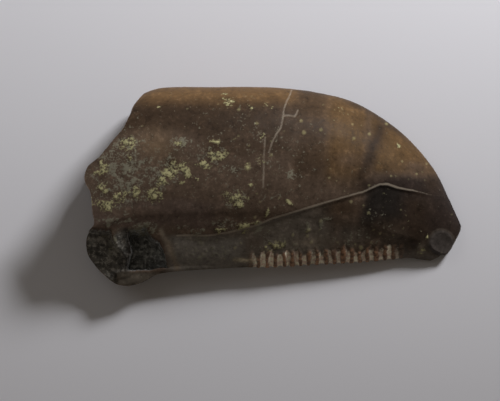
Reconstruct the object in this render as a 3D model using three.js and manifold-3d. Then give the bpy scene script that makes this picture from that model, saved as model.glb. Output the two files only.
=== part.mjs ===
// A fossil theropod tooth: one flattened, blade-like crown, broken across its base, lying on its side.
//
// Frame, in millimetres: +X runs from the broken base to the tip, +Y towards the smooth front edge, -Y
// towards the serrated back edge, and +Z up through the blade. The origin is the centre of the tooth's
// outline, on the surface that it lies on.
//
// The blade is one closed shell. Seen from above, its grid has rows that cross the blade from the back edge
// to the front edge, one after another from base to tip, and every grid point has a height on the upper and
// the lower face. Pits and scars are cut from that shell, and the serrations are joined to its back edge.

import * as THREE from "three";
import { mergeVertices } from "three/addons/utils/BufferGeometryUtils.js";
import Module from "manifold-3d";

const wasm = await Module();
wasm.setup();

// ---- Outline, seen from above ----

// The smooth front edge, from the base break to the tip: nearly straight, then one long arc.
const FRONT_EDGE = [
  [-4.52, 3.24], [-4.2, 3.36], [-3.7, 3.44], [-2.1, 3.46], [0, 3.45], [1.8, 3.22],
  [3.0, 2.83], [4.39, 1.92], [5.46, 0.74], [6.01, -0.28], [6.49, -1.34],
];
// The back edge, along the tips of its serrations, from the base break to the tip.
const BACK_EDGE = [
  [-5.07, -3.48], [-4.6, -3.35], [-4.15, -3.1], [-3.6, -2.99], [-2.16, -2.88], [-0.37, -2.79],
  [2.3, -2.64], [4.5, -2.49], [5.0, -2.52], [5.42, -2.57],
];
// The break across the base, from the back edge to the front edge: a lobe, a notch, a knob and a slope.
const BASE_BREAK = [
  [-5.07, -3.48], [-5.48, -3.43], [-5.86, -3.17], [-6.23, -2.8], [-6.5, -2.38], [-6.54, -1.95],
  [-6.44, -1.64], [-6.22, -1.4], [-6.28, -0.97], [-6.34, -0.35], [-6.49, -0.08], [-6.55, 0.2], [-6.42, 0.55],
  [-6.02, 0.92], [-5.67, 1.35], [-5.28, 1.81], [-5.02, 2.38], [-4.8, 2.84], [-4.52, 3.24],
];
// The worn tip, from the back edge to the front edge, with a small nick.
const TIP_BREAK = [
  [5.42, -2.57], [5.68, -2.46], [5.8, -2.37], [6.01, -2.33], [6.22, -2.0], [6.45, -1.56], [6.49, -1.34],
];

// The long crack, which rises from the pocket at the base to a blunt peak and then dips towards the tip.
const CRACK = [
  [-3.4, -1.76], [-2.34, -1.76], [-1.65, -1.66], [-0.78, -1.45], [-0.1, -1.17], [0.94, -0.86],
  [2.32, -0.45], [3.01, -0.26], [3.6, 0.02], [3.87, 0.02], [4.22, -0.09], [4.73, -0.17], [5.42, -0.31],
];

// ---- Heights above the surface ----

const CREST_AT_BASE = 2.95;
const CREST_AT_TIP = 0.38;
const EDGE_AT_BASE = 0.95;
const EDGE_AT_TIP = 0.1;
const KEEL_ARCH = 0.26; // how high the lower face arches between the base and the tip
// How deep the hollow along the lower face is at the base, as a share of the edge's height.
const KEEL_HOLLOW = 0.3;
const WEAR = 0.06; // what wear has taken off the three spots that the tooth lies on
const CRACK_DROP = 0.07; // how much lower the upper face lies below the crack
const BREAK_HOLLOW = 0.25; // how far the break across the base is hollowed

// ---- Serrations ----

const SERRATION_PITCH = 0.293;
const SERRATION_COUNT = 17;
const FIRST_SERRATION_X = -0.293;
const SERRATION_WIDTH = 0.25;
const SERRATION_LENGTH = 0.46;
const SERRATION_HEIGHT = 0.42;

// ---- Pits, each cut straight down from a rim seen from above to a sloping floor ----

// The floor's height is given at PIT_MIDDLE, and its slopes along X and Y.
const PIT_MIDDLE = [-5, -2.5];
const PIT_DEPTH = 4;
const PITS = [
  // a deep pocket in the upper face beside the base break
  {
    rim: [
      [-5.13, -1.54], [-4.47, -1.49], [-4.23, -1.76], [-3.96, -1.94], [-3.82, -2.13], [-3.72, -2.43],
      [-3.61, -2.72], [-3.5, -3.02], [-4.23, -3.1], [-4.92, -3.12], [-5.3, -3.08], [-5.23, -2.62],
      [-5.06, -2.28], [-5.13, -1.86],
    ],
    floor: 0.8,
    slopes: [0, 0.05],
  },
  // the corner of the base, broken away down to the enamel of the lower face
  {
    rim: [
      [-7.2, -1.47], [-5.52, -1.47], [-5.5, -1.8], [-5.3, -2.15], [-5, -2.45], [-5, -2.9], [-5.3, -3.2],
      [-5.35, -4.2], [-7.2, -4.2],
    ],
    floor: 1.36,
    slopes: [0.1, 0.35],
  },
];

// ---- Hollows, each an ellipsoid that is cut away ----

const HOLLOWS = [
  // a shallow shell-shaped scar on the worn tip
  { centre: [5.83, -1.99, 0.7], radii: [0.52, 0.52, 0.18], turn: [0.41, 0.43, 0] },
  // the pulp cavity, a low oval dish in the break across the base
  { centre: [-6.1, 1.25, 1.45], radii: [0.65, 1.25, 0.5], turn: [0, 0, -0.6] },
];

// ---- Mesh fineness ----

const ROWS = 48; // from base to tip
const COLUMNS = 26; // from edge to edge, on each face
const CRACK_COLUMN = 9; // the column that follows the crack
const WALL_STEPS = 6; // from rim to rim across the base break
const TIP_STEPS = 2;

// ---- The blade ----

const curveThrough = (points) => new THREE.SplineCurve(points.map(([x, y]) => new THREE.Vector2(x, y)));
const frontEdge = curveThrough(FRONT_EDGE);
const backEdge = curveThrough(BACK_EDGE);
const baseBreak = curveThrough(BASE_BREAK);
const tipBreak = curveThrough(TIP_BREAK);

// The point seen from above at a share u of the way from base to tip and w of the way from the back edge to
// the front edge: the blend of the four outline curves (a Coons patch).
function planPoint(u, w) {
  const [front, back] = [frontEdge.getPointAt(u), backEdge.getPointAt(u)];
  const [base, tip] = [baseBreak.getPointAt(w), tipBreak.getPointAt(w)];
  const [backBase, frontBase] = [baseBreak.getPointAt(0), baseBreak.getPointAt(1)];
  const [backTip, frontTip] = [tipBreak.getPointAt(0), tipBreak.getPointAt(1)];
  return new THREE.Vector2()
    .addScaledVector(back, 1 - w)
    .addScaledVector(front, w)
    .addScaledVector(base, 1 - u)
    .addScaledVector(tip, u)
    .addScaledVector(backBase, -(1 - u) * (1 - w))
    .addScaledVector(frontBase, -(1 - u) * w)
    .addScaledVector(backTip, -u * (1 - w))
    .addScaledVector(frontTip, -u * w);
}

// How far across the blade a point of the plan lies, from 0 at the back edge to 1 at the front edge: its
// distance along the straight line from the one to the other, over that line's length. It stays off 0 and 1
// inside the grid, by at least a fifth of the share w's own distance from them.
function shareAcross(u, w, point) {
  const back = backEdge.getPointAt(u);
  const chord = frontEdge.getPointAt(u).sub(back);
  const measured = point.clone().sub(back).dot(chord) / chord.lengthSq();
  return THREE.MathUtils.clamp(measured, 0.2 * w, 1 - 0.2 * (1 - w));
}

// How full the upper face is across the blade: a thin wedge at the back edge and a round nose at the front
// edge, which sharpens towards the tip. 1 at its highest.
function upperFullness(u, w) {
  const wedge = 0.74;
  const nose = 0.5 + 0.3 * u * u;
  const peak = wedge / (wedge + nose);
  return (w ** wedge * (1 - w) ** nose) / (peak ** wedge * (1 - peak) ** nose);
}

// How full the lower face is: two low ridges, at shares RIDGE and 1 - RIDGE of the way across, with a
// hollow between them that fades out towards the tip. 1 on the ridges.
const RIDGE = 0.27;

function lowerFullness(u, w) {
  if (w < RIDGE) return 1 - (1 - w / RIDGE) ** 1.7;
  if (w > 1 - RIDGE) return (1 - (1 - (1 - w) / RIDGE) ** 2.2) ** 0.6;
  const between = (w - RIDGE) / (1 - 2 * RIDGE);
  return 1 - KEEL_HOLLOW * (1 - u) * Math.sin(Math.PI * between) ** 2;
}

const crest = (u) => CREST_AT_TIP + (CREST_AT_BASE - CREST_AT_TIP) * (1 - u ** 2.1) ** 0.85;
const edge = (u) => EDGE_AT_TIP + (EDGE_AT_BASE - EDGE_AT_TIP) * (1 - u) ** 0.86;
const keel = (u) => KEEL_ARCH * Math.sin(Math.PI * u) ** 2 - WEAR;

// A smooth step from 0 to 1 as a value goes from low to high.
const step = (value, low, high) => THREE.MathUtils.smoothstep(value, low, high);

function crackY(x) {
  const next = CRACK.findIndex(([crackX]) => crackX > x);
  if (next < 1) return next === 0 ? CRACK[0][1] : CRACK.at(-1)[1];
  const [[x0, y0], [x1, y1]] = [CRACK[next - 1], CRACK[next]];
  return THREE.MathUtils.mapLinear(x, x0, x1, y0, y1);
}

// How far the upper face has dropped below the crack. It fades out at both ends of the crack and at the
// back edge.
function crackDrop(x, y, w) {
  const along = step(x, -3.6, -2.4) * (1 - step(x, 4.6, 5.5));
  return CRACK_DROP * along * step(crackY(x) - y, 0, 0.15) * step(w, 0, 0.12);
}

function upperPoint(u, w) {
  const point = planPoint(u, w);
  const share = shareAcross(u, w, point);
  const whole = edge(u) + (crest(u) - edge(u)) * upperFullness(u, share);
  return new THREE.Vector3(point.x, point.y, whole - crackDrop(point.x, point.y, share));
}

// The lower face, worn flat where it would reach below the surface that the tooth lies on.
function lowerPoint(u, w) {
  const point = planPoint(u, w);
  const height = edge(u) - (edge(u) - keel(u)) * lowerFullness(u, shareAcross(u, w, point));
  return new THREE.Vector3(point.x, point.y, Math.max(0, height));
}

// A broken end: straight across from the upper rim to the lower rim, but hollowed by a few low waves.
function breakPoint(u, w, depth, hollow) {
  const point = upperPoint(u, w).lerp(lowerPoint(u, w), depth);
  const inside = Math.sin(Math.PI * depth) * Math.sin(Math.PI * w);
  const waves = 0.5 * Math.sin(5.1 * w + 3.3 * depth) + 0.3 * Math.sin(13 * w - 4 * depth);
  point.x += hollow * inside * (1 + waves);
  return point;
}

// The triangles of a surface through a grid of points, two between each four neighbours.
function sheet(columns, rows, pointAt) {
  const triangles = [];
  for (let row = 0; row < rows; row++)
    for (let column = 0; column < columns; column++) {
      const a = pointAt(column, row);
      const b = pointAt(column + 1, row);
      const c = pointAt(column + 1, row + 1);
      const d = pointAt(column, row + 1);
      triangles.push(a, b, c, a, c, d);
    }
  return triangles.flatMap((point) => point.toArray());
}

// The share of the way across at which a row meets the crack.
function crackShare(u) {
  let [low, high] = [0, 1];
  for (let halving = 0; halving < 30; halving++) {
    const middle = (low + high) / 2;
    const { x, y } = planPoint(u, middle);
    if (y < crackY(x)) low = middle;
    else high = middle;
  }
  return low;
}

// A column's share of the way across a row. The columns are closer together at the two edges, and one of
// them follows the crack.
function across(u, column) {
  const crack = crackShare(u);
  if (column <= CRACK_COLUMN) return crack * (1 - Math.cos((Math.PI / 2) * (column / CRACK_COLUMN)));
  const rest = (column - CRACK_COLUMN) / (COLUMNS - CRACK_COLUMN);
  return crack + (1 - crack) * Math.sin((Math.PI / 2) * rest);
}

function bladeGeometry() {
  const upper = sheet(COLUMNS, ROWS, (column, row) => {
    const u = row / ROWS;
    return upperPoint(u, across(u, COLUMNS - column));
  });
  const lower = sheet(COLUMNS, ROWS, (column, row) => {
    const u = row / ROWS;
    return lowerPoint(u, across(u, column));
  });
  const base = sheet(COLUMNS, WALL_STEPS, (column, level) =>
    breakPoint(0, across(0, column), level / WALL_STEPS, BREAK_HOLLOW));
  const tip = sheet(COLUMNS, TIP_STEPS, (column, level) =>
    breakPoint(1, across(1, COLUMNS - column), level / TIP_STEPS, 0));
  const geometry = new THREE.BufferGeometry();
  const positions = new Float32Array([...upper, ...lower, ...base, ...tip]);
  geometry.setAttribute("position", new THREE.BufferAttribute(positions, 3));
  return geometry;
}

// ---- Joining and cutting ----

// A closed geometry as a solid, placed by an optional matrix, without triangles that closed up to a line.
function solidOf(geometry, matrix = new THREE.Matrix4()) {
  const bare = geometry.clone().applyMatrix4(matrix);
  bare.deleteAttribute("normal");
  bare.deleteAttribute("uv");
  const merged = mergeVertices(bare, 1e-4);
  const corners = Array.from(merged.index.array);
  const kept = [];
  for (let i = 0; i < corners.length; i += 3) {
    const [a, b, c] = corners.slice(i, i + 3);
    if (a !== b && b !== c && c !== a) kept.push(a, b, c);
  }
  const vertProperties = merged.attributes.position.array;
  return new wasm.Manifold(new wasm.Mesh({ numProp: 3, vertProperties, triVerts: new Uint32Array(kept) }));
}

function geometryOf(solid) {
  const { numProp, vertProperties, triVerts } = solid.getMesh();
  const geometry = new THREE.BufferGeometry();
  const positions = new Float32Array((vertProperties.length / numProp) * 3);
  for (let i = 0; i < positions.length / 3; i++)
    positions.set(vertProperties.subarray(i * numProp, i * numProp + 3), i * 3);
  geometry.setAttribute("position", new THREE.BufferAttribute(positions, 3));
  geometry.setIndex(new THREE.BufferAttribute(new Uint32Array(triVerts), 1));
  geometry.computeVertexNormals();
  return geometry;
}

function placed(centre, turn, scale) {
  return new THREE.Matrix4().compose(
    new THREE.Vector3(...centre),
    new THREE.Quaternion().setFromEuler(new THREE.Euler(...turn)),
    new THREE.Vector3(...scale),
  );
}

function pitSolid({ rim, floor, slopes: [alongX, alongY] }) {
  const shape = new THREE.Shape(rim.map(([x, y]) => new THREE.Vector2(x, y)));
  const lift = floor - alongX * PIT_MIDDLE[0] - alongY * PIT_MIDDLE[1];
  const tilt = new THREE.Matrix4().set(1, 0, 0, 0, 0, 1, 0, 0, alongX, alongY, 1, lift, 0, 0, 0, 1);
  return solidOf(new THREE.ExtrudeGeometry(shape, { depth: PIT_DEPTH, bevelEnabled: false }), tilt);
}

function hollowSolid({ centre, radii, turn }) {
  return solidOf(new THREE.SphereGeometry(1, 20, 14), placed(centre, turn, radii));
}

// ---- Serrations ----

// The back edge's height and place at a distance along X.
function backEdgeAt(x) {
  let [low, high] = [0, 1];
  for (let step = 0; step < 30; step++) {
    const middle = (low + high) / 2;
    if (backEdge.getPointAt(middle).x < x) low = middle;
    else high = middle;
  }
  return { y: backEdge.getPointAt(low).y, z: edge(low) };
}

// A chisel-shaped bud that straddles the back edge, with its long axis across the edge.
function serrationSolid(index) {
  const x = FIRST_SERRATION_X + index * SERRATION_PITCH;
  const { y, z } = backEdgeAt(x);
  const bud = new THREE.CapsuleGeometry(SERRATION_WIDTH / 2, SERRATION_LENGTH, 3, 8);
  const centre = [x, y + SERRATION_LENGTH / 2 + SERRATION_WIDTH / 2 - 0.02, z + 0.06];
  return solidOf(bud, placed(centre, [0.25, 0, 0], [1, 1, SERRATION_HEIGHT / SERRATION_WIDTH]));
}

// ---- The tooth ----

let tooth = solidOf(bladeGeometry());
for (let index = 0; index < SERRATION_COUNT; index++) tooth = tooth.add(serrationSolid(index));
for (const pit of PITS) tooth = tooth.subtract(pitSolid(pit));
for (const hollow of HOLLOWS) tooth = tooth.subtract(hollowSolid(hollow));

const toothMesh = new THREE.Mesh(
  geometryOf(tooth),
  new THREE.MeshStandardMaterial({ color: 0x4a3829, roughness: 0.5, metalness: 0 }),
);
toothMesh.name = "tooth";

const group = new THREE.Group();
group.add(toothMesh);

export default group;
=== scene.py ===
import math

import bpy
import mathutils
import numpy as np
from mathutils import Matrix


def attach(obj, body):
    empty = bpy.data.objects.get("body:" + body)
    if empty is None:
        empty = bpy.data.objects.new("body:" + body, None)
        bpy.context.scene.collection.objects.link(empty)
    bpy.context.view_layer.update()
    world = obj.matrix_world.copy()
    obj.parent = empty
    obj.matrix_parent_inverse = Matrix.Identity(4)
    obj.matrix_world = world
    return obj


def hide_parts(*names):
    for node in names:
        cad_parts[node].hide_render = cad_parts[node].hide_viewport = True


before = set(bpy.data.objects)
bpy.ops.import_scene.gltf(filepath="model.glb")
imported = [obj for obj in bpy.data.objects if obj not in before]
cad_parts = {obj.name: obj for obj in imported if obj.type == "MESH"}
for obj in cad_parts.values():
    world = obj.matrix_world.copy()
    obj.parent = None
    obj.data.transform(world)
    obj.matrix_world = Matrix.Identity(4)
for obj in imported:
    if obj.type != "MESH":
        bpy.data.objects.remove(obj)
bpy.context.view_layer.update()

# ---- The tooth ----
# One blade-like crown of a small meat-eating dinosaur, turned to stone: enamel over dentine, stained brown,
# with pale rock in its pits and cracks. It is one closed surface in millimetres: a grid of heights within
# the outline's four sides, roughened along its normals. +X runs to the tip and -Y to the serrations.

FRONT_EDGE = [
    (-4.52, 3.24), (-4.2, 3.36), (-3.7, 3.44), (-2.1, 3.46), (0, 3.45), (1.8, 3.22),
    (3.0, 2.83), (4.39, 1.92), (5.46, 0.74), (6.01, -0.28), (6.49, -1.34),
]
BACK_EDGE = [
    (-5.07, -3.48), (-4.6, -3.35), (-4.15, -3.1), (-3.6, -2.99), (-2.16, -2.88), (-0.37, -2.79),
    (2.3, -2.64), (4.5, -2.49), (5.0, -2.52), (5.42, -2.57),
]
BASE_BREAK = [
    (-5.07, -3.48), (-5.48, -3.43), (-5.86, -3.17), (-6.23, -2.8), (-6.5, -2.38), (-6.54, -1.95),
    (-6.44, -1.64), (-6.22, -1.4), (-6.28, -0.97), (-6.34, -0.35), (-6.49, -0.08), (-6.55, 0.2),
    (-6.42, 0.55), (-6.02, 0.92), (-5.67, 1.35), (-5.28, 1.81), (-5.02, 2.38), (-4.8, 2.84),
    (-4.52, 3.24),
]
TIP_BREAK = [
    (5.42, -2.57), (5.68, -2.46), (5.8, -2.37), (6.01, -2.33), (6.22, -2.0), (6.45, -1.56), (6.49, -1.34),
]

ROWS = 330  # from base to tip
COLUMNS = 140  # from edge to edge, on each face
WALL_LEVELS = 24  # from rim to rim across the base break
TIP_LEVELS = 6
CROWDING = 0.25  # how much closer together the columns are at the edges
CURVE_POINTS = 400  # along each side of the outline
MM = 0.001  # in metres


def along_curve(points, shares):
    """Points at shares of the length of the Catmull-Rom curve through the given points. Between two of them
    the curve is a cubic, whose slope at each is half the step between its two neighbours. The shares are read
    off the summed lengths of many short chords."""
    points = np.array(points, float)
    last = len(points) - 1
    t = np.linspace(0, last, CURVE_POINTS)
    start = np.minimum(t.astype(int), last - 1)
    before, after = np.maximum(start - 1, 0), np.minimum(start + 2, last)
    f = (t - start)[:, None]
    p0, p1, p2, p3 = points[before], points[start], points[start + 1], points[after]
    slope1, slope2 = (p2 - p0) / 2, (p3 - p1) / 2
    square = 3 * (p2 - p1) - 2 * slope1 - slope2
    cube = 2 * (p1 - p2) + slope1 + slope2
    curve = p1 + slope1 * f + square * f**2 + cube * f**3
    lengths = np.concatenate([[0], np.cumsum(np.linalg.norm(np.diff(curve, axis=0), axis=1))])
    at = np.asarray(shares) * lengths[-1]
    return np.stack([np.interp(at, lengths, curve[:, k]) for k in range(2)], axis=-1)


def smooth(value, low, high):
    """A smooth step from 0 at low to 1 at high: 3t^2 - 2t^3."""
    t = np.clip((value - low) / (high - low), 0, 1)
    return t * t * (3 - 2 * t)


def plan(u, w):
    """Each grid point seen from above: the average of the blend between the two edges and the blend between
    the two breaks, less the blend of the four corners (a Coons patch). u runs from base to tip, w from back
    to front."""
    back, front = along_curve(BACK_EDGE, u)[:, None], along_curve(FRONT_EDGE, u)[:, None]
    base, tip = along_curve(BASE_BREAK, w)[None], along_curve(TIP_BREAK, w)[None]
    u, w = u[:, None, None], w[None, :, None]
    base_corners = (1 - w) * base[:, :1] + w * base[:, -1:]
    tip_corners = (1 - w) * tip[:, :1] + w * tip[:, -1:]
    corners = (1 - u) * base_corners + u * tip_corners
    return (1 - w) * back + w * front + (1 - u) * base + u * tip - corners


# Heights of the crown's highest line, its two edges and its lowest line above the surface it lies on.
CREST_AT_BASE, CREST_AT_TIP = 2.95, 0.38
EDGE_AT_BASE, EDGE_AT_TIP = 0.95, 0.1
KEEL_ARCH, WEAR = 0.26, 0.06
KEEL_HOLLOW = 0.3  # the lower face's hollow at the base, as a share of the edge's height over the keel
RIDGE = 0.27  # how far in from each edge the lower face's two low ridges lie, as a share of the way across
LEAST_SHARE = 0.2  # of its grid place from an edge, which every point keeps


def share_across(u, w, seen):
    """How far across the blade each grid point lies, from 0 at the back edge to 1 at the front edge: the
    point's distance along the straight line from the one to the other, over that line's length. It stays off
    0 and 1 inside the grid, by at least LEAST_SHARE of w's own distance from them."""
    back, front = along_curve(BACK_EDGE, u)[:, None], along_curve(FRONT_EDGE, u)[:, None]
    chord = front - back
    measured = np.sum((seen - back) * chord, axis=-1) / np.sum(chord * chord, axis=-1)
    return np.clip(measured, LEAST_SHARE * w, 1 - LEAST_SHARE * (1 - w))


def crest(u):
    """The highest line falls from the base to the tip as a power of 1 - u^2.1, slowly and then steeply."""
    return CREST_AT_TIP + (CREST_AT_BASE - CREST_AT_TIP) * (1 - u**2.1) ** 0.85


def edge(u):
    """The edges fall as a power of 1 - u, almost evenly."""
    return EDGE_AT_TIP + (EDGE_AT_BASE - EDGE_AT_TIP) * (1 - u) ** 0.86


def keel(u):
    """The lowest line is a sine-squared arch, sunk by the wear. Below 0 it is worn flat."""
    return KEEL_ARCH * np.sin(np.pi * u) ** 2 - WEAR


def upper_fullness(u, w):
    """How full the upper face is across the blade: w^a (1 - w)^b over its highest value, a thin wedge at the
    back edge and a round nose at the front edge that sharpens towards the tip."""
    wedge, nose = 0.74, 0.5 + 0.3 * u * u
    peak = wedge / (wedge + nose)
    return w**wedge * (1 - w) ** nose / (peak**wedge * (1 - peak) ** nose)


def lower_fullness(u, w):
    """How full the lower face is: 1 on two low ridges, falling to 0 at the edges, with a sine-squared hollow
    between the ridges that fades out towards the tip."""
    back = 1 - np.clip(1 - w / RIDGE, 0, 1) ** 1.7
    front = (1 - np.clip(1 - (1 - w) / RIDGE, 0, 1) ** 2.2) ** 0.6
    between = np.clip((w - RIDGE) / (1 - 2 * RIDGE), 0, 1)
    return np.minimum(back, front) - KEEL_HOLLOW * (1 - u) * np.sin(np.pi * between) ** 2


LATTICE = 32  # numbers along each side of the lattice, which then repeats
LATTICE_START = 500  # keeps every cell's number above 0
OCTAVE_FADE = 0.6


def lumps(points, size, seed):
    """Smooth random values between -1 and 1: random numbers on a cubic lattice of the given spacing, blended
    between the eight corners of each cell with smooth steps."""
    table = np.random.default_rng(seed).uniform(-1, 1, (LATTICE, LATTICE, LATTICE))
    p = points / size + LATTICE_START
    cell = np.floor(p).astype(int)
    f = p - cell
    f = f * f * (3 - 2 * f)
    total = np.zeros(points.shape[:-1])
    for corner in np.ndindex(2, 2, 2):
        at = (cell + corner) % LATTICE
        weight = np.prod(np.where(corner, f, 1 - f), axis=-1)
        total += weight * table[at[..., 0], at[..., 1], at[..., 2]]
    return total


def grain(points, size, seed, octaves=4):
    """Lumps of the given size plus ever finer ones, each octave half as large and OCTAVE_FADE as high as the
    last, over the sum of those heights."""
    heights = [OCTAVE_FADE**k * lumps(points, size / 2**k, seed + k) for k in range(octaves)]
    return sum(heights) / sum(OCTAVE_FADE**k for k in range(octaves))


# The long crack rises from the pocket to a blunt peak and dips towards the tip. The face below has dropped.
CRACK = [
    (-3.4, -1.76), (-2.34, -1.76), (-1.65, -1.66), (-0.78, -1.45), (-0.1, -1.17), (0.94, -0.86),
    (2.32, -0.45), (3.01, -0.26), (3.6, 0.02), (3.87, 0.02), (4.22, -0.09), (4.73, -0.17), (5.42, -0.31),
]
CRACK_DROP = 0.07
# Hairline cracks across the front half of the face.
HAIRLINES = [
    [(0.56, 3.34), (0.46, 3.03), (0.35, 2.8), (0.28, 2.52), (0.25, 2.24), (0.18, 1.93), (0.01, 1.66),
     (-0.13, 1.38), (-0.23, 1.07)],
    [(0.28, 2.34), (0.46, 2.36), (0.66, 2.31), (0.77, 2.55)],
    [(-0.37, 1.59), (-0.4, 0.9), (-0.42, -0.14)],
]


def distance_to(line, x, y):
    """The distance from each point to the nearest stretch of a line of straight stretches."""
    nearest = np.full(x.shape, np.inf)
    for (x0, y0), (x1, y1) in zip(line, line[1:]):
        share = ((x - x0) * (x1 - x0) + (y - y0) * (y1 - y0)) / ((x1 - x0) ** 2 + (y1 - y0) ** 2)
        share = np.clip(share, 0, 1)
        nearest = np.minimum(nearest, np.hypot(x - x0 - share * (x1 - x0), y - y0 - share * (y1 - y0)))
    return nearest


def crack_drop(x, y, w):
    """How far the face has dropped below the long crack: a smooth step in the distance below it, faded out at
    both of its ends and at the back edge."""
    line = np.array(CRACK)
    below = np.interp(x, line[:, 0], line[:, 1]) - y
    along = smooth(x, -3.6, -2.4) * (1 - smooth(x, 4.6, 5.5))
    return CRACK_DROP * along * smooth(below, 0, 0.15) * smooth(w, 0, 0.12)


# Two steep-sided pits where pieces have broken away beside the base: a deep pocket, and a shallower one that
# takes off the corner of the base. Each has a rim seen from above, the height of its floor at PIT_MIDDLE and
# the floor's slopes along X and Y.
PIT_MIDDLE = (-5.0, -2.5)
RIM_RAGGEDNESS, RIM_BLEND = 0.09, 0.06  # how far the rims are torn about and rounded
WALL_FOOT, WALL_SLOPE = 0.22, 7.0  # how far inside the rim the wall starts, and how steeply it climbs
POCKET = (
    [(-5.13, -1.54), (-4.47, -1.49), (-4.23, -1.76), (-3.96, -1.94), (-3.82, -2.13), (-3.72, -2.43),
     (-3.61, -2.72), (-3.5, -3.02), (-4.23, -3.1), (-4.92, -3.12), (-5.3, -3.08), (-5.23, -2.62),
     (-5.06, -2.28), (-5.13, -1.86)],
    0.8, (0, 0.05),
)
CORNER = (
    [(-7.2, -1.47), (-5.52, -1.47), (-5.5, -1.8), (-5.3, -2.15), (-5, -2.45), (-5, -2.9), (-5.3, -3.2),
     (-5.35, -4.2), (-7.2, -4.2)],
    1.36, (0.1, 0.35),
)
# A scar on the tip and the pulp cavity in the base break, each part of an ellipsoid: its centre, its radii
# and its turns about X, Y and Z.
TIP_CHIP = ((5.83, -1.99, 0.7), (0.52, 0.52, 0.18), (0.41, 0.43, 0))
PULP_CAVITY = ((-6.1, 1.25, 1.45), (0.65, 1.25, 0.5), (0, 0, -0.6))
CHIP_BLEND = 0.02  # how far the scar's rim is rounded
FAR = 9.0  # past every point of the tooth


def pit_floor(x, y, pit):
    """The height of a pit's floor, a tilted plane whose wall starts WALL_FOOT inside the rim and climbs by
    WALL_SLOPE for each millimetre. A point is inside if an odd number of the rim's stretches lie beyond it
    along X."""
    rim, height, slopes = pit
    closed = rim + rim[:1]
    crossed = np.zeros(x.shape, int)
    for (x0, y0), (x1, y1) in zip(closed, closed[1:]):
        if y0 != y1:
            crossed += ((y0 > y) != (y1 > y)) & (x < x0 + (y - y0) * (x1 - x0) / (y1 - y0))
    outwards = np.where(crossed % 2 == 1, -1, 1) * distance_to(closed, x, y)
    plane = height + slopes[0] * (x - PIT_MIDDLE[0]) + slopes[1] * (y - PIT_MIDDLE[1])
    return plane + WALL_SLOPE * np.maximum(0, outwards + WALL_FOOT)


def ellipsoid_wall(points, axis, side, shape):
    """Where the line through each point along an axis leaves an ellipsoid on the low (-1) or high (1) side:
    the root of a quadratic, and not a number where the line misses it."""
    centre, radii, (rx, ry, rz) = shape
    cx, sx, cy, sy, cz, sz = (f(a) for a in (rx, ry, rz) for f in (math.cos, math.sin))
    turn = (
        np.array([[1, 0, 0], [0, cx, -sx], [0, sx, cx]])
        @ np.array([[cy, 0, sy], [0, 1, 0], [-sy, 0, cy]])
        @ np.array([[cz, -sz, 0], [sz, cz, 0], [0, 0, 1]])
    )
    form = turn @ np.diag(1 / np.array(radii) ** 2) @ turn.T
    away = points - np.array(centre)
    away[..., axis] = 0
    a = form[axis, axis]
    b = away @ form[axis]
    c = np.einsum("...i,ij,...j->...", away, form, away) - 1
    with np.errstate(invalid="ignore"):
        return centre[axis] + (-b + side * np.sqrt(b * b - a * c)) / a


# The serrations, chisel-shaped buds that straddle the back edge with their long axis across it.
SERRATION_PITCH = 0.293
FIRST_SERRATION_X = -0.293
SERRATION_REACH = 0.43  # from the edge inwards
BUD_RISE, BUD_FALL, BUD_OVERHANG = 0.045, 0.04, 0.05  # above the upper face, below the lower, past the edge
SLOT_DEPTH = 0.03  # into each face


def serration(x, inwards):
    """Two shares at each point near the back edge: how much it is on a serration and how much in the slot
    between two. The distance along the edge, over the pitch, gives the turn of a cosine, which is 1 in
    mid-serration."""
    present = smooth(x, -1.15, -0.35) * (1 - smooth(x, 3.3, 4.9))
    spots = np.stack([x, inwards, 0 * x], axis=-1)
    reach = SERRATION_REACH * (1 + 0.5 * grain(spots, 0.2, 61, 2))
    present = present * (1 - smooth(inwards, 0.6 * reach, 1.2 * reach))
    along = x + 0.06 * grain(spots, 0.25, 63, 2) - FIRST_SERRATION_X
    wave = np.abs(np.cos(np.pi * along / SERRATION_PITCH))
    bud = smooth(wave, 0.4, 0.95)
    return present * bud, present * (1 - bud)


LEAST_THICKNESS = 0.05


def soft_least(a, b, blend):
    """The lesser of two heights, with the corner between them rounded over the blend distance."""
    h = np.clip(0.5 + (b - a) / (2 * blend), 0, 1)
    return a * h + b * (1 - h) - blend * h * (1 - h)


# -- The grids of the two faces and the two broken ends --
u = np.linspace(0, 1, ROWS + 1)
w = np.linspace(0, 1, COLUMNS + 1)
w = (1 - CROWDING) * w + CROWDING * (1 - np.cos(np.pi * w)) / 2
seen = plan(u, w)
x, y = seen[..., 0], seen[..., 1]
U, W = u[:, None] + 0 * x, share_across(u, w, seen)
inwards = y - along_curve(BACK_EDGE, u)[:, None, 1]
ragged = np.stack([x, y, 0 * x], axis=-1)
shift = RIM_RAGGEDNESS * np.stack([grain(ragged, 0.5, 11), grain(ragged, 0.5, 12), 0 * x], axis=-1)

whole = edge(U) + (crest(U) - edge(U)) * upper_fullness(U, W)
upper = whole - crack_drop(x, y, W)
torn_x, torn_y = x + shift[..., 0], y + shift[..., 1]
floors = [(pit_floor(torn_x, torn_y, pit), RIM_BLEND) for pit in (CORNER, POCKET)]
chip_floor = ellipsoid_wall(ragged + 0.3 * shift, 2, -1, TIP_CHIP)
floors.append((np.nan_to_num(chip_floor, nan=FAR), CHIP_BLEND))
for floor_height, blend in floors:
    upper = np.where(W > 0, soft_least(upper, floor_height, blend), upper)
lower = np.maximum(0, edge(U) - (edge(U) - keel(U)) * lower_fullness(U, W))
upper = np.where((W > 0) & (W < 1), np.maximum(upper, lower + LEAST_THICKNESS), upper)
flaked = smooth(whole - crack_drop(x, y, W) - upper, 0.02, 0.12) * (1 - smooth(x, 4, 4.5))

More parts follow.
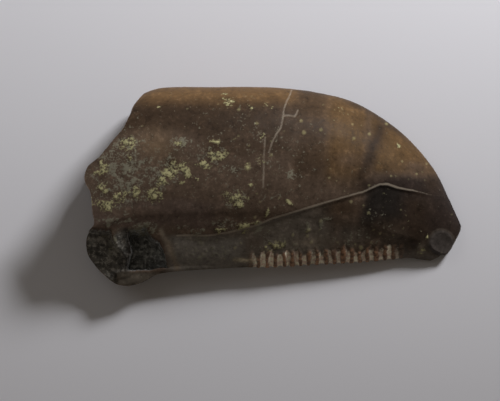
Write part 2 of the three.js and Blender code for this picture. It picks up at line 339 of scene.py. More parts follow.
bud, slot = serration(x, inwards)
off_edge = smooth(inwards, 0, 0.07)
upper = upper + (BUD_RISE * bud - SLOT_DEPTH * slot) * off_edge
lower = np.maximum(0, lower - (BUD_FALL * bud - SLOT_DEPTH * slot) * off_edge)
y = y - BUD_OVERHANG * bud * np.exp(-((inwards / 0.1) ** 2))

upper_face = np.stack([x, y, upper], axis=-1)
lower_face = np.stack([x, y, lower], axis=-1)


BREAK_HOLLOW = 0.25  # how far the break across the base is hollowed


def broken_end(top, bottom, levels, hollow):
    """A wall from one rim to the other: straight between them, then hollowed along X by the product of two
    half waves of a sine, which is 0 on the rims, with two low ripples on it."""
    depth = np.linspace(0, 1, levels + 1)[:, None]
    wall = top[None] * (1 - depth[..., None]) + bottom[None] * depth[..., None]
    inside = np.sin(np.pi * depth) * np.sin(np.pi * w)
    waves = 0.5 * np.sin(5.1 * w + 3.3 * depth) + 0.3 * np.sin(13 * w - 4 * depth)
    wall[..., 0] += hollow * inside * (1 + waves)
    return wall


base_wall = broken_end(upper_face[0], lower_face[0], WALL_LEVELS, BREAK_HOLLOW)
pulp = np.nan_to_num(ellipsoid_wall(base_wall, 0, 1, PULP_CAVITY), nan=-FAR)
in_cavity = smooth(pulp - base_wall[..., 0], -0.03, 0.05)
base_wall[..., 0] = -soft_least(-base_wall[..., 0], -pulp, RIM_BLEND)
thickness = upper_face[0, :, 2] - lower_face[0, :, 2]
down = np.linspace(0, 1, WALL_LEVELS + 1)
up = np.linspace(1, 0, WALL_LEVELS + 1)
from_rim = np.minimum(down, up)[:, None] * thickness
tip_wall = broken_end(upper_face[-1], lower_face[-1], TIP_LEVELS, 0)

# -- One closed shell from the four grids, which share their rims --
faces_of = {}
points, count = [], 0


def add_grid(name, grid, shared):
    """Numbers a grid's points, with the shared numbers where it meets an earlier grid, and keeps new ones."""
    global count
    numbers = shared.copy()
    new = numbers < 0
    numbers[new] = count + np.arange(new.sum())
    points.append(grid[new])
    count += int(new.sum())
    faces_of[name] = numbers
    return numbers


upper_ids = add_grid("upper", upper_face, np.full(x.shape, -1))
shared = np.full(x.shape, -1)
shared[:, 0], shared[:, -1] = upper_ids[:, 0], upper_ids[:, -1]
lower_ids = add_grid("lower", lower_face, shared)
for name, wall, row in (("base", base_wall, 0), ("tip", tip_wall, -1)):
    shared = np.full(wall.shape[:2], -1)
    shared[:, 0], shared[:, -1] = upper_ids[row, 0], upper_ids[row, -1]
    shared[0], shared[-1] = upper_ids[row], lower_ids[row]
    add_grid(name, wall, shared)
points = np.concatenate(points)


def triangles(numbers, flip):
    """Two triangles for each cell of a grid of point numbers, turned over if asked, without those that have
    closed up to a line."""
    a, b, c, d = numbers[:-1, :-1], numbers[1:, :-1], numbers[1:, 1:], numbers[:-1, 1:]
    cells = np.stack([np.stack([a, b, c], -1), np.stack([a, c, d], -1)], -2).reshape(-1, 3)
    open_ones = (cells[:, 0] != cells[:, 1]) & (cells[:, 1] != cells[:, 2]) & (cells[:, 2] != cells[:, 0])
    cells = cells[open_ones]
    return cells[:, ::-1] if flip else cells


faces = np.concatenate([
    triangles(faces_of["upper"], False),
    triangles(faces_of["lower"], True),
    triangles(faces_of["base"], False),
    triangles(faces_of["tip"], True),
])


def normals(points, faces):
    """Each point's unit normal: the sum of the cross products of its triangles' sides."""
    p = points[faces]
    cross = np.cross(p[:, 1] - p[:, 0], p[:, 2] - p[:, 0])
    total = np.zeros_like(points)
    for corner in range(3):
        np.add.at(total, faces[:, corner], cross)
    return total / np.maximum(np.linalg.norm(total, axis=1, keepdims=True), 1e-12)


def spread(name, values, fill):
    """A value for every point of the shell from the values on one grid, and a fill value elsewhere."""
    out = np.full(count, float(fill))
    out[faces_of[name]] = values
    return out


# -- Where the surface is broken and cracked, and where pale rock still clings to it --
SCAR_MIDDLE, SCAR_RADIUS = (5.79, -1.98), 0.48
broken = np.maximum(spread("upper", flaked, 0), spread("base", 0.7, 0))
broken = np.maximum(broken, spread("tip", 0.6, 0))
on_top, on_base = spread("upper", 1.0, 0), spread("base", 1.0, 0)
near_top = np.maximum(on_top, spread("lower", 1 - smooth(inwards, 0.1, 0.6), 0))
underneath = spread("lower", smooth(W, 0, 0.1) * (1 - smooth(W, 0.9, 1)), 0) * (1 - on_top)
px, py = points[:, 0], points[:, 1]
between_pits = np.exp(-(((px + 5.25) / 0.45) ** 2) - ((py + 2.3) / 0.8) ** 2)
broken = np.maximum(broken, on_top * smooth(between_pits, 0.3, 0.6))
scar = np.hypot(px - SCAR_MIDDLE[0], py - SCAR_MIDDLE[1]) / SCAR_RADIUS
in_pocket = spread("upper", flaked, 0) * smooth(px, -5.2, -5.0)


def distance_on_top(line, wobble, seed):
    """The distance to a line on the upper face, whose points are pushed about by grain, and 1 elsewhere."""
    push_x, push_y = (wobble * grain(points, 0.35, seed + k) for k in range(2))
    return np.where(on_top > 0, distance_to(line, px + push_x, py + push_y), 1)


# The crack is widest at its peak and closes up towards the tip.
crack_distance = distance_on_top(CRACK, 0.02, 21) + 0.03 * smooth(px, 4.5, 5.3)
crack_distance = crack_distance - 0.013 * np.exp(-(((px - 3.95) / 0.35) ** 2)) - 0.005 * np.exp(-(px**2))
hairline_distance = np.min([distance_on_top(line, 0.03, 23) for line in HAIRLINES], axis=0)

# Patches on the upper face: centre x, y, half-width, half-height and strength. First yellowish rock, then
# grey rock.
YELLOW_PATCHES = [
    (-4.99, 1.3, 0.4, 0.36, 0.85), (-4.99, 0.93, 0.16, 0.26, 0.75), (-5.93, 0.48, 0.36, 0.24, 1.0),
    (-6.0, -0.2, 0.22, 0.2, 1.0), (-5.8, -0.72, 0.4, 0.22, 1.05), (-5.3, -0.5, 0.28, 0.2, 0.95),
    (-4.9, -0.3, 0.24, 0.2, 0.9), (-4.72, -0.34, 0.22, 0.28, 1.0), (-4.15, -0.4, 0.34, 0.18, 1.05),
    (-3.85, 0.08, 0.2, 0.22, 0.85), (-3.65, 0.38, 0.3, 0.24, 1.15), (-3.3, 0.65, 0.28, 0.22, 0.8),
    (-3.05, 0.4, 0.24, 0.26, 0.95), (-3.1, 0.1, 0.14, 0.14, 0.85), (-2.7, 0.03, 0.12, 0.1, 0.75),
    (-2.5, 0.6, 0.32, 0.15, 1.05), (-2.15, 0.92, 0.24, 0.2, 0.8), (-1.78, 0.92, 0.24, 0.18, 0.9),
    (-2.08, 1.41, 0.24, 0.12, 1.15), (-1.75, 3.08, 0.13, 0.1, 0.9), (-1.6, 2.93, 0.16, 0.12, 0.95),
    (-1.62, 2.78, 0.2, 0.07, 0.85), (-3.99, 2.62, 0.1, 0.1, 1.2), (-3.3, 1.33, 0.3, 0.15, 0.8),
    (-1.4, -0.52, 0.42, 0.3, 1.0), (-1.3, -0.68, 0.26, 0.16, 1.1), (-0.78, -0.07, 0.12, 0.12, 1.1),
    (-0.25, 2.6, 0.14, 0.2, 0.65), (-0.87, 2.68, 0.12, 0.14, 0.65), (-1.92, -1.54, 0.2, 0.12, 0.95),
    (-1.1, -1.52, 0.28, 0.14, 1.05), (-0.7, -1.33, 0.16, 0.12, 0.95), (0.05, -2.08, 0.3, 0.12, 1.0),
    (2.75, -2.1, 0.12, 0.12, 0.8), (-0.42, 1.66, 0.11, 0.12, 0.85), (-0.96, 0.58, 0.16, 0.12, 0.8),
    (-0.6, 0.8, 0.3, 0.12, 0.45), (0.5, -0.65, 0.15, 0.1, 1.05), (-0.27, -0.98, 0.12, 0.1, 0.9),
    (5.1, -2.2, 0.09, 0.17, 0.95), (5.3, -1.75, 0.06, 0.08, 0.9), (4.42, -2.08, 0.08, 0.09, 0.95),
    (2.28, 2.55, 0.17, 0.14, 0.7), (4.34, 1.36, 0.15, 0.13, 0.75), (-0.23, -2.31, 0.18, 0.12, 1.1),
    (0.25, -1.97, 0.2, 0.1, 1.0), (1.11, -1.59, 0.11, 0.14, 0.9), (-1.15, -1.43, 0.3, 0.11, 0.9),
]
GREY_PATCHES = [
    (-5.18, -0.19, 0.25, 0.25, 0.85), (-3.28, 1.35, 0.42, 0.22, 1.0), (0.54, 0.28, 0.18, 0.18, 1.1),
    (1.52, -1.3, 0.1, 0.18, 1.3), (1.78, -1.14, 0.22, 0.08, 1.3), (1.12, -1.5, 0.16, 0.16, 1.0),
    (-0.58, -1.48, 0.22, 0.26, 0.8), (-1.35, -0.5, 0.5, 0.4, 0.8), (-4.55, -1.55, 0.5, 0.3, 0.9),
    (-5.5, -1.32, 0.8, 0.14, 0.95), (-5.6, -1.9, 0.25, 0.4, 0.7), (-4.5, -1.4, 0.5, 0.16, 0.9),
    (-1.72, -1.28, 0.2, 0.12, 0.75), (5.1, -2.15, 0.2, 0.25, 0.7), (-5.2, 0.3, 1.2, 1.6, 0.7),
    (-3.9, 0.4, 0.8, 0.9, 0.65), (-2.6, 0.9, 0.9, 0.6, 0.48), (-2.9, -1.7, 0.9, 0.35, 0.5),
    (-2.4, -2.3, 1.1, 0.45, 0.5), (0.2, -2.0, 1.3, 0.4, 0.45), (2.6, -1.9, 1.2, 0.35, 0.5),
    (-1.2, -0.4, 0.6, 0.45, 0.5), (-4.8, 2.0, 0.5, 0.6, 0.3), (3.3, -1.3, 0.6, 0.6, 0.42),
    (-1.6, -1.4, 1.2, 0.3, 0.5), (-5.7, 0.3, 0.5, 0.9, 0.62), (-0.8, 0.5, 2.4, 2.4, 0.32),
]
# On the lower face the rock lies in a few broad patches.
UNDER_PATCHES = [
    (-4.6, 0.6, 1.1, 0.7, 0.9), (-2.6, -0.9, 1.0, 0.5, 0.8), (0.7, 1.2, 0.9, 0.5, 0.7),
    (2.6, -0.5, 0.8, 0.4, 0.7), (-5.3, -1.9, 0.6, 0.6, 0.8), (-1.0, 2.4, 1.0, 0.4, 0.6),
]


def patches(spots, side):
    """The highest of some flat-topped spots, each its strength times exp(-r^2.6), where r is 1 on its rim, on
    one side of the tooth."""
    x = px + 0.25 * grain(points, 0.25, 31, 4)
    y = py + 0.25 * grain(points, 0.25, 32, 4)
    highest = np.zeros(count)
    for cx, cy, rx, ry, strength in spots:
        r2 = ((x - cx) / rx) ** 2 + ((y - cy) / ry) ** 2
        highest = np.maximum(highest, strength * np.exp(-(r2**1.3)))
    return side * highest


yellow_rock = patches(YELLOW_PATCHES, on_top) + 0.75 * patches(UNDER_PATCHES, underneath)
yellow_rock = yellow_rock + 0.6 * spread("base", in_cavity, 0) + 0.35 * on_base
yellow_rock = 1.4 * yellow_rock - 0.4 + 0.9 * grain(points, 0.17, 33, 3)
grey_rock = patches(GREY_PATCHES, on_top) + 0.9 * patches(UNDER_PATCHES, underneath)
grey_rock = 1.4 * grey_rock - 0.35 + 0.9 * grain(points, 0.12, 36, 2)

# Specks of the same rock: centre x, y and radius of the clearest ones, then many small ones strewn at random.
SPECKS = [
    (0.97, 1.76, 0.07), (1.56, 1.86, 0.06), (1.39, 1.76, 0.04), (0.87, 2.17, 0.06),
    (2.66, 2.1, 0.05), (2.97, 2.07, 0.04), (2.7, 1.59, 0.06), (3.25, 1.76, 0.06),
    (-0.65, 2.07, 0.06), (-0.92, 1.28, 0.05), (-1.27, 2.55, 0.06), (-1.27, 1.62, 0.05),
    (-1.4, 1.52, 0.05), (-0.16, 0.97, 0.06), (-0.96, 0.55, 0.09), (-0.65, -0.34, 0.05),
    (-0.54, -0.62, 0.05), (0.11, -0.48, 0.05), (-0.71, -1.14, 0.06), (-1.23, -1.38, 0.06),
    (0.01, -1.97, 0.06), (0.6, -1.72, 0.06), (1.15, -1.55, 0.07), (1.11, -1.76, 0.06),
    (1.25, -1.97, 0.06), (1.56, -1.24, 0.06), (1.53, -1.55, 0.05), (3.22, -0.03, 0.05),
    (2.6, -0.59, 0.06), (3.04, -0.72, 0.05), (3.22, -0.97, 0.06), (3.39, -1.55, 0.05),
    (3.63, -1.66, 0.05), (3.32, -1.97, 0.05), (2.77, -2.03, 0.05), (2.97, -2.14, 0.07),
    (1.84, 0.21, 0.05), (-1.4, -2.17, 0.06), (-1.2, -2.0, 0.05), (3.87, 2.17, 0.06),
    (5.28, 0.79, 0.05), (5.11, 0.48, 0.04), (4.39, 0.83, 0.05), (4.0, 0.3, 0.05),
    (4.9, 0.4, 0.05), (5.2, 0.2, 0.04), (2.05, 2.6, 0.04), (2.5, 2.45, 0.04),
    (4.6, 0.2, 0.04),
]
STREWN_COUNT = 260
LEAST, MOST = (-6.3, -3.2, 0.015), (6.3, 3.2, 0.045)
strewn = np.random.default_rng(5).uniform(LEAST, MOST, (STREWN_COUNT, 3))
specks = np.zeros(count)
for spots, side in ((SPECKS, on_top), (strewn, 1)):
    for cx, cy, r in spots:
        spot = np.exp(-((px - cx) ** 2 + (py - cy) ** 2) / (1.3 * r) ** 2) * min(1, 12 * r)
        specks = np.maximum(specks, side * spot)

# -- Relief, in millimetres along the normals --
relief = 0.014 * grain(points, 1.1, 41, 3) + 0.004 * grain(points, 0.25, 42, 3)
relief += broken * (0.06 * grain(points, 0.45, 43, 4) + 0.02 * grain(points, 0.12, 44, 2))
crusted = np.maximum(smooth(yellow_rock, 0.4, 0.8), 0.6 * smooth(grey_rock, 0.4, 0.8))
relief += 0.015 * crusted * (1 + 0.8 * grain(points, 0.12, 45, 2)) + 0.008 * smooth(specks, 0.3, 0.7)
relief -= 0.01 * (1 - smooth(crack_distance, 0.01, 0.05))
relief -= 0.008 * (1 - smooth(hairline_distance, 0.01, 0.05))
points = points + normals(points, faces) * relief[:, None]
points[:, 2] = np.maximum(points[:, 2], 0)

# -- Stains: the colour of the enamel, with some painted light and shade, laid on as broad soft washes --
sx = px + 0.16 * grain(points, 1.2, 51, 3)
sy = py + 0.12 * grain(points, 1.2, 52, 3)
crack_line = np.array(CRACK)
below = np.interp(px, crack_line[:, 0], crack_line[:, 1]) - py
below_crack = near_top * smooth(below, -0.02, 0.06) * smooth(px, -4.2, -2.2)


def blob(cx, cy, rx, ry):
    """A round spot that is 1 at its centre and fades out as exp(-r^2)."""
    return np.exp(-(((sx - cx) / rx) ** 2 + ((sy - cy) / ry) ** 2))


def window(value, low, high, fade):
    """1 between two values and 0 outside them, with smooth steps as wide as the fade."""
    half = fade / 2
    return smooth(value, low - half, low + half) * (1 - smooth(value, high - half, high + half))


PURPLE_BROWN, DEEP_BROWN, TAN = (0.107, 0.073, 0.05), (0.05, 0.031, 0.018), (0.143, 0.081, 0.034)
ORANGE_BROWN, PINK_BROWN, WARM_GREY = (0.11, 0.063, 0.026), (0.15, 0.1, 0.06), (0.19, 0.168, 0.138)
NEAR_BLACK, RED_BLACK = (0.02, 0.016, 0.013), (0.0275, 0.0185, 0.014)
DUST_AND_PAINTED_LIGHT, PALE_DUST = (0.145, 0.12, 0.093), (0.25, 0.2, 0.145)
SLATE, LIP_BROWN, UMBER = (0.066, 0.055, 0.047), (0.095, 0.078, 0.058), (0.108, 0.075, 0.057)
DENTINE, POCKET_GREY = (0.15, 0.14, 0.12), (0.22, 0.225, 0.215)
PIT_DIVIDE = [(-5.13, -1.6), (-5.02, -2.2), (-5.12, -2.7), (-5.2, -3.08)]
RIDGE_CREAM, CAVITY_ROCK, BREAK_BROWN = (0.5, 0.42, 0.28), (0.24, 0.21, 0.13), (0.12, 0.082, 0.052)
TICKED_RIDGE = [(-1.4, -2.57), (-0.9, -2.6), (-0.37, -2.53), (0.0, -2.6)]
POCKET_RIM = [(-3.96, -1.62), (-3.76, -2.0), (-3.58, -2.4), (-3.42, -2.9)]

stain = np.tile(PURPLE_BROWN, (count, 1))


def wash(colour, share):
    """Lays a colour over the stains and painted light by a share of 0 to 1 at each point."""
    stain[:] += (np.array(colour) - stain) * np.clip(share, 0, 1)[:, None]


# The front half: dark brown with a tan front edge, then orange with darker bands across it.
wash(DEEP_BROWN, window(sy, 1.72, 4, 0.5) * (1 - smooth(sx, 1.5, 2.0)))
wash(PURPLE_BROWN, 0.25 * window(sy, 1.5, 3, 0.5) * smooth(sx, -1.2, 0.2))
wash(DEEP_BROWN, 0.6 * window(sy, 1.0, 2.0, 0.4) * window(sx, -2.6, 0.6, 0.6))
wash(TAN, smooth(sy, 2.5, 3.15) * (1 - 0.5 * smooth(sx, 0.3, 1.0)))
wash(PINK_BROWN, blob(-4.1, 1.3, 0.65, 0.5))
wash(DEEP_BROWN, 0.7 * window(sx - 0.06 * sy, 0.6, 1.6, 0.4) * smooth(sy, -0.5, 0.5))
wash(ORANGE_BROWN, window(sx - 0.05 * sy, 1.7, 3.1, 0.5) * smooth(sy, -0.4, 0.8))
wash(TAN, 0.4 * blob(2.2, 1.1, 0.8, 0.5))
wash(ORANGE_BROWN, window(sx, 3.3, 8, 0.5) * smooth(sy, 0.2, 0.6))
wash(TAN, 0.35 * blob(4.4, 1.5, 0.4, 0.3) + 0.35 * blob(5.0, 0.9, 0.4, 0.3))
curved = sx - 2.93 - 0.44 * np.clip(sy - 0.2, 0, 3)
wash(DEEP_BROWN, np.exp(-((curved / 0.22) ** 2)) * window(sy, 0.1, 2.2, 0.6))
wash(RED_BLACK, window(sx - 0.8 * sy, 3.4, 9, 0.9) * (1 - smooth(sy, 0.1, 0.5)) * (1 - below_crack))
wash(RED_BLACK, (0.9 * blob(4.65, 0.12, 0.75, 0.18) + 0.9 * blob(3.1, -0.1, 0.45, 0.28)) * (1 - below_crack))
wash(DEEP_BROWN, 0.6 * blob(5.5, 0.2, 0.3, 0.4))
wash(UMBER, 0.45 * blob(2.5, 0.78, 0.55, 0.32) + 0.55 * blob(4.85, 0.6, 0.5, 0.2))
wash(TAN, 0.2 * blob(1.6, 2.5, 0.9, 0.7))
dark_spots = 0.5 * blob(4.95, 0.52, 0.22, 0.16) + 0.35 * blob(3.8, 0.55, 0.35, 0.25)
wash(DEEP_BROWN, dark_spots + 0.4 * blob(2.6, -0.1, 0.45, 0.22))

# The middle of the base half, and what lies below the long crack. The grey-brown there is partly dust and
# partly painted light, which lightens the shade on this slope that faces away from the lamp.
wash(UMBER, window(sy, -1.5, -0.6, 0.3) * (1 - smooth(sx, -2.6, -1.6)))
wash(PINK_BROWN, 0.3 * on_top * blob(-5.0, -1.0, 0.9, 0.22))
wash(DEEP_BROWN, 0.6 * on_top * (1.3 * blob(-5.0, 0.62, 0.25, 0.2) + 1.5 * blob(-3.6, 0.7, 0.24, 0.3)))
# Painted light: grey-brown dust below the crack, made lighter to stand in for light this slope doesn't get.
wash(DUST_AND_PAINTED_LIGHT, below_crack * (1 - smooth(sx, 1.6, 2.2)))
wash(PALE_DUST, (0.7 * blob(1.2, -1.95, 0.7, 0.2) + 0.5 * blob(-1.1, -1.52, 0.7, 0.18)) * below_crack)
wash(PURPLE_BROWN, 0.5 * blob(-0.75, -1.95, 0.4, 0.25))
wash(DEEP_BROWN, 0.9 * below_crack * blob(2.2, -0.85, 1.0, 0.34))
wash(DUST_AND_PAINTED_LIGHT, 0.75 * below_crack * blob(2.6, -1.75, 0.7, 0.35))
wash(NEAR_BLACK, below_crack * smooth(sx - 0.3 * sy, 3.0, 3.6) * smooth(sy, -2.0, -1.0))
wash(RED_BLACK, below_crack * window(sx, 4.4, 9, 0.8))
wash(NEAR_BLACK, 0.8 * on_top * below_crack * window(sx, 3.0, 4.3, 0.5) * smooth(sy, -1.5, -1.1))
wash(DEEP_BROWN, 0.45 * below_crack * blob(4.9, -0.75, 0.45, 0.5))
wash(DEEP_BROWN, 0.5 * below_crack * window(sx, 3.3, 5.2, 0.8) * (1 - smooth(sy, -1.7, -0.8)))
wash(DUST_AND_PAINTED_LIGHT, 0.35 * below_crack * blob(4.1, -1.85, 0.6, 0.3))

# A dark front edge towards the tip, and the pale strips between the pocket, the serrations and the scar,
# which are partly dust and partly painted light that lightens the shade on these steep slopes.
past_front_edge = py - np.interp(px, [2.3, 3.0, 4.39, 5.46], [3.06, 2.83, 1.92, 0.74])
wash(DEEP_BROWN, 0.7 * on_top * window(sx, 2.4, 4.6, 0.8) * smooth(past_front_edge, -0.32, -0.08))
# Painted light: warm grey on the flank above the serrations, dust lightened to stand in for light it doesn't
# get.
wash(WARM_GREY, near_top * window(sx, -3.7, -1.2, 0.6) * (1 - smooth(sy, -1.9, -1.65)))
# Painted light: a lighter strip between the serrations and the scar, over greyish dust, where the steep slope
# is in shade.
wash(DUST_AND_PAINTED_LIGHT, 0.8 * on_top * window(sx, 4.2, 5.8, 0.5) * (1 - smooth(sy, -2.4, -1.9)))
wash(PALE_DUST, 0.8 * on_top * blob(5.1, -2.18, 0.12, 0.22))

# The scar on the tip, the broken places with their rims, and the base break.
wash(SLATE, on_top * (1 - smooth(scar, 0.85, 1.0)))
wash(DUST_AND_PAINTED_LIGHT, 0.3 * on_top * np.exp(-(((scar - 1.0) / 0.07) ** 2)))
wash(PALE_DUST, on_top * np.exp(-((distance_to(POCKET_RIM, sx, sy) / 0.09) ** 2)))
ticks = 0.7 + grain(points, 0.1, 57, 2)
wash(RIDGE_CREAM, 1.2 * ticks * on_top * np.exp(-((distance_to(TICKED_RIDGE, sx, py) / 0.06) ** 2)))
wash(DENTINE, broken)
wash(POCKET_GREY, in_pocket)
# Painted shade: a near-black line on the divide between the two pits, carrying the pocket's shadow over its
# lit wall.
wash(NEAR_BLACK, 0.85 * on_top * np.exp(-((distance_to(PIT_DIVIDE, px, py) / 0.12) ** 2)))
wash(LIP_BROWN, on_top * window(px, -5.6, -3.0, 0.3) * (1 - smooth(py, -3.08, -2.94)))
wash(BREAK_BROWN, on_base * (0.75 + 0.6 * grain(points, 0.6, 58, 3)))
wash(CAVITY_ROCK, 0.8 * spread("base", in_cavity, 0))
wash(UMBER, 0.8 * spread("base", 1 - smooth(from_rim, 0.1, 0.18), 0))

# An uneven strength all over, with fine bands across the blade, and rock in the slots between the serrations,
# thicker towards the base.
bands = grain(np.stack([px - 0.12 * py, 0.08 * py, 0 * px], axis=-1), 0.16, 56, 3)
stain *= (1 + 0.16 * grain(points, 0.5, 53, 4) + 0.25 * bands * window(px, 0.3, 3.9, 0.8))[:, None]
stain = np.clip(stain, 0, 1)
across_slots = np.stack([px, 0.3 * py, 0 * px], axis=-1)
uneven = 0.9 + 0.5 * (1 - smooth(px, 0.6, 1.4)) + 2.0 * grain(across_slots, 0.3, 55, 2)
filled = np.clip(uneven, 0.6, 1.5) * (1 - 0.12 * smooth(px, 2.9, 3.7))
slots = filled * (spread("upper", slot, 0) + spread("lower", slot, 0))
buds = spread("upper", bud, 0) + spread("lower", bud, 0)

# -- The mesh in metres, with the stains and the masks as attributes --
mesh = bpy.data.meshes.new("fossil_tooth")
mesh.vertices.add(count)
mesh.vertices.foreach_set("co", (points * MM).ravel())
mesh.loops.add(faces.size)
mesh.loops.foreach_set("vertex_index", faces.ravel())
mesh.polygons.add(len(faces))
mesh.polygons.foreach_set("loop_start", np.arange(0, faces.size, 3))
mesh.update(calc_edges=True)
mesh.validate()
mesh.shade_smooth()
for name, values in {
    "broken": broken * (1 - 0.6 * on_base),
    "crack_distance": crack_distance,
    "hairline_distance": hairline_distance,
    "yellow_rock": yellow_rock,
    "grey_rock": grey_rock,
    "specks": specks,
    "slots": slots,
    "buds": buds,
}.items():
    mesh.attributes.new(name, "FLOAT", "POINT").data.foreach_set("value", values)
stain = np.concatenate([stain, np.ones((count, 1))], axis=1)
mesh.attributes.new("stain", "FLOAT_COLOR", "POINT").data.foreach_set("color", stain.ravel())
tooth = bpy.data.objects.new("fossil_tooth", mesh)
bpy.context.scene.collection.objects.link(tooth)


# -- The finish: the stains and painted light broken up by fine noise, then cracks, rock, specks and serrations over them --
class Value:
    """A shader socket with Python's operators, each of which adds the Math node that does its work."""

    tree = None

    def __init__(self, socket):
        self.socket = socket

    @classmethod
    def node(cls, kind, settings=None, inputs=None, output=0):
        """Adds a node of any type: its settings, then its sockets' values or links by name or number."""
        made = cls.tree.nodes.new(kind)
        for key, value in (settings or {}).items():
            if key == "stops":
                ramp = made.color_ramp
                while len(ramp.elements) < len(value):
                    ramp.elements.new(0.5)
                for element, (position, color) in zip(ramp.elements, value):
                    element.position, element.color = position, (*color, 1)
            else:
                setattr(made, key, value)
        for key, value in (inputs or {}).items():
            if isinstance(value, Value):
                cls.tree.links.new(value.socket, made.inputs[key])
            else:
                made.inputs[key].default_value = value
        return cls(made.outputs[output])

    def math(self, operation, *others):
        return Value.node("ShaderNodeMath", {"operation": operation}, dict(enumerate((self, *others))))

    def __add__(self, other):
        return self.math("ADD", other)

    def __sub__(self, other):
        return self.math("SUBTRACT", other)

    def __rsub__(self, other):
        return Value.node("ShaderNodeMath", {"operation": "SUBTRACT"}, {0: other, 1: self})

    def __mul__(self, other):
        return self.math("MULTIPLY", other)

    __radd__, __rmul__ = __add__, __mul__

    def step(self, low, high):
        """0 at low, 1 at high and a smooth step between them."""
        settings = {"interpolation_type": "SMOOTHSTEP"}
        return Value.node("ShaderNodeMapRange", settings, {"Value": self, "From Min": low, "From Max": high})


def attribute(name, output="Fac"):
    """What the mesh holds at each point under a name."""
    return Value.node("ShaderNodeAttribute", {"attribute_name": name}, output=output)


MIX_A, MIX_B, MIX_RESULT = 6, 7, 2  # the Mix node's sockets for colours


def mix(share, a, b):
    """The colour a share of the way from a to b."""
    a, b = (colour if isinstance(colour, Value) else (*colour, 1) for colour in (a, b))
    inputs = {"Factor": share, MIX_A: a, MIX_B: b}
    return Value.node("ShaderNodeMix", {"data_type": "RGBA"}, inputs, output=MIX_RESULT)


def brighter(color, times):
    """A colour with each of its parts multiplied by a number."""
    return Value.node("ShaderNodeVectorMath", {"operation": "SCALE"}, {0: color, "Scale": times})


def noise(size, detail=4.0, roughness=0.6):
    """Blender's own noise, about 0 to 1, with lumps of a size in metres."""
    where = Value.node("ShaderNodeTexCoord", output="Object")
    inputs = {"Vector": where, "Scale": 1 / size, "Detail": detail, "Roughness": roughness}
    return Value.node("ShaderNodeTexNoise", None, inputs)


fossil = bpy.data.materials.new("fossil_enamel")
fossil.use_nodes = True
Value.tree = fossil.node_tree
shader = fossil.node_tree.nodes["Principled BSDF"]

YELLOW_ROCK, PALE_ROCK = (0.36, 0.33, 0.165), (0.52, 0.48, 0.25)
GREY_ROCK, DARK_ROCK = (0.24, 0.225, 0.16), (0.11, 0.095, 0.06)
CRACK_CREAM = (0.39, 0.33, 0.25)
BUD_BROWN, BUD_RED = (0.155, 0.095, 0.06), (0.42, 0.23, 0.13)
SLOT_TAN, SLOT_CREAM = (0.76, 0.57, 0.43), (0.97, 0.9, 0.68)

fine = noise(0.00013)
crisp = noise(0.00007, 3)
enamel = attribute("stain", "Color")
bare = attribute("broken")
tone = (noise(0.00035) + fine - 1.0) * (bare + 1.1)
color = mix(tone.step(0.0, 0.4), enamel, brighter(enamel, 1.6))
color = mix((0 - tone).step(0.0, 0.4), color, brighter(enamel, 0.6))
color = mix(bare * fine.step(0.52, 0.62) * 0.8, color, brighter(enamel, 2.4))
color = mix(bare * noise(0.0002).step(0.52, 0.6) * 0.7, color, brighter(enamel, 0.3))
lines = (1 - (attribute("crack_distance") + (fine - 0.5) * 0.04).step(0.005, 0.05)) * 0.9
hairlines = (1 - (attribute("hairline_distance") + (fine - 0.5) * 0.05).step(0.0, 0.05)) * 0.75
lines = lines.math("MAXIMUM", hairlines)
color = mix(lines, color, mix(0.65, brighter(color, 1.5), CRACK_CREAM))
grey = (attribute("grey_rock") + (crisp - 0.5) * 3).step(0.3, 1.0)
color = mix(grey * 0.8, color, GREY_ROCK)
yellow = (attribute("yellow_rock") + (crisp - 0.5) * 2.5).step(0.3, 0.95)
rock = mix((fine + crisp).step(0.85, 1.1), DARK_ROCK, YELLOW_ROCK)
rock = mix((attribute("yellow_rock") + (fine - 0.5) * 2.5).step(0.7, 1.3), rock, PALE_ROCK)
color = mix(yellow, color, rock)
speckled = (attribute("specks") + (crisp - 0.5) * 0.6).step(0.2, 0.7) * 0.8
color = mix(speckled, color, mix(0.4, YELLOW_ROCK, brighter(color, 2.0)))
color = mix(attribute("buds") * 0.9, color, mix(fine.step(0.4, 0.6), BUD_BROWN, BUD_RED))
slotted = (attribute("slots") + (crisp - 0.5) * 0.8).step(0.1, 0.8)
color = mix(slotted, color, mix(fine.step(0.4, 0.6), SLOT_TAN, SLOT_CREAM))
rough = yellow.math("MAXIMUM", grey).math("MAXIMUM", bare).math("MAXIMUM", speckled)
roughness = rough * 0.35 + 0.48 + (fine - 0.5) * 0.2
bump = Value.node("ShaderNodeBump", None, {"Strength": 0.35, "Distance": 0.00002, "Height": fine})
for socket, value in (("Base Color", color), ("Roughness", roughness), ("Normal", bump)):
    fossil.node_tree.links.new(value.socket, shader.inputs[socket])
shader.inputs["Specular IOR Level"].default_value = 0.07
mesh.materials.append(fossil)

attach(tooth, "root")
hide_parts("tooth")

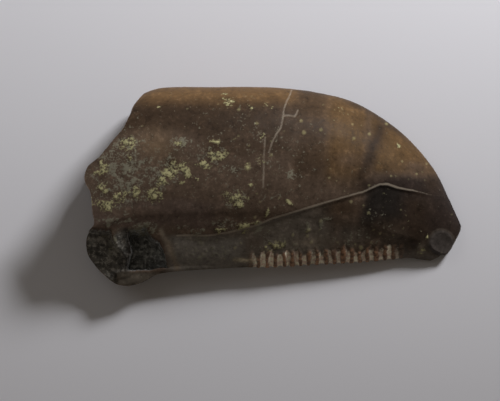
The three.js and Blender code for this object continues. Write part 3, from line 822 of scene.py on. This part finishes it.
# ---- The paper that the tooth lies on ----
# A sheet of plain off-white paper, much wider than the tooth, which lies loose on it. It is one flat square
# and isn't part of the object.
PAPER_SIZE, PAPER_TOP = 0.4, -0.00002  # in metres
bpy.ops.mesh.primitive_plane_add(size=PAPER_SIZE, location=(0, 0, PAPER_TOP))
paper = bpy.context.object
paper.name = "paper"
paper_finish = bpy.data.materials.new("paper")
paper_finish.use_nodes = True
paper_shader = paper_finish.node_tree.nodes["Principled BSDF"]
OFF_WHITE = (0.74, 0.73, 0.74, 1)
for socket, value in (("Base Color", OFF_WHITE), ("Roughness", 0.9), ("Specular IOR Level", 0.1)):
    paper_shader.inputs[socket].default_value = value
paper.data.materials.append(paper_finish)

# ---- Light and camera ----
# A low soft lamp at the upper right, aimed beyond the front edge so that its light fades across the tooth and
# the paper, a weak fill lamp at the upper left, and a dim warm glow. The camera looks almost straight down.


def aim(obj, position, target):
    """Puts an object at a place in millimetres and turns it to face another."""
    obj.location = np.array(position) * MM
    direction = mathutils.Vector(np.array(target) - np.array(position))
    obj.rotation_euler = direction.to_track_quat("-Z", "Y").to_euler()


LAMP_WHITE, GLOW, GLOW_STRENGTH = (0.94, 0.95, 1), (1, 0.88, 0.75, 1), 0.09


def soft_lamp(name, position, target, radius, spread, power):
    """A round lamp whose light fades out evenly from the middle of its cone to the rim."""
    lamp = bpy.data.lights.new(name, "SPOT")
    lamp.shadow_soft_size, lamp.energy = radius * MM, power
    lamp.color = LAMP_WHITE
    lamp.spot_size, lamp.spot_blend = math.radians(spread), 1
    obj = bpy.data.objects.new(name, lamp)
    bpy.context.scene.collection.objects.link(obj)
    aim(obj, position, target)


soft_lamp("key", (50, 66, 51), (27, 62, 0), 14, 111, 1.04)
soft_lamp("fill", (-63, 53, 57), (0, 0, 0), 45, 60, 0.05)
world = bpy.data.worlds.new("glow")
world.use_nodes = True
background = world.node_tree.nodes["Background"]
background.inputs["Color"].default_value = GLOW
background.inputs["Strength"].default_value = GLOW_STRENGTH
bpy.context.scene.world = world

ELEVATION = math.radians(87)
DISTANCE = 120.0  # from the camera to its target, in millimetres
FIELD = 17.34  # how many millimetres the camera sees from side to side
SENSOR = 36
target = np.array((-0.883, -0.52, 1.2))
camera = bpy.data.cameras.new("camera")
camera.sensor_width = SENSOR
camera.lens = SENSOR * DISTANCE / FIELD
camera.clip_start = 0.001
camera_object = bpy.data.objects.new("camera", camera)
bpy.context.scene.collection.objects.link(camera_object)
aim(camera_object, target + DISTANCE * np.array((0, -math.cos(ELEVATION), math.sin(ELEVATION))), target)
bpy.context.scene.camera = camera_object
bpy.context.scene.view_settings.view_transform = "Standard"
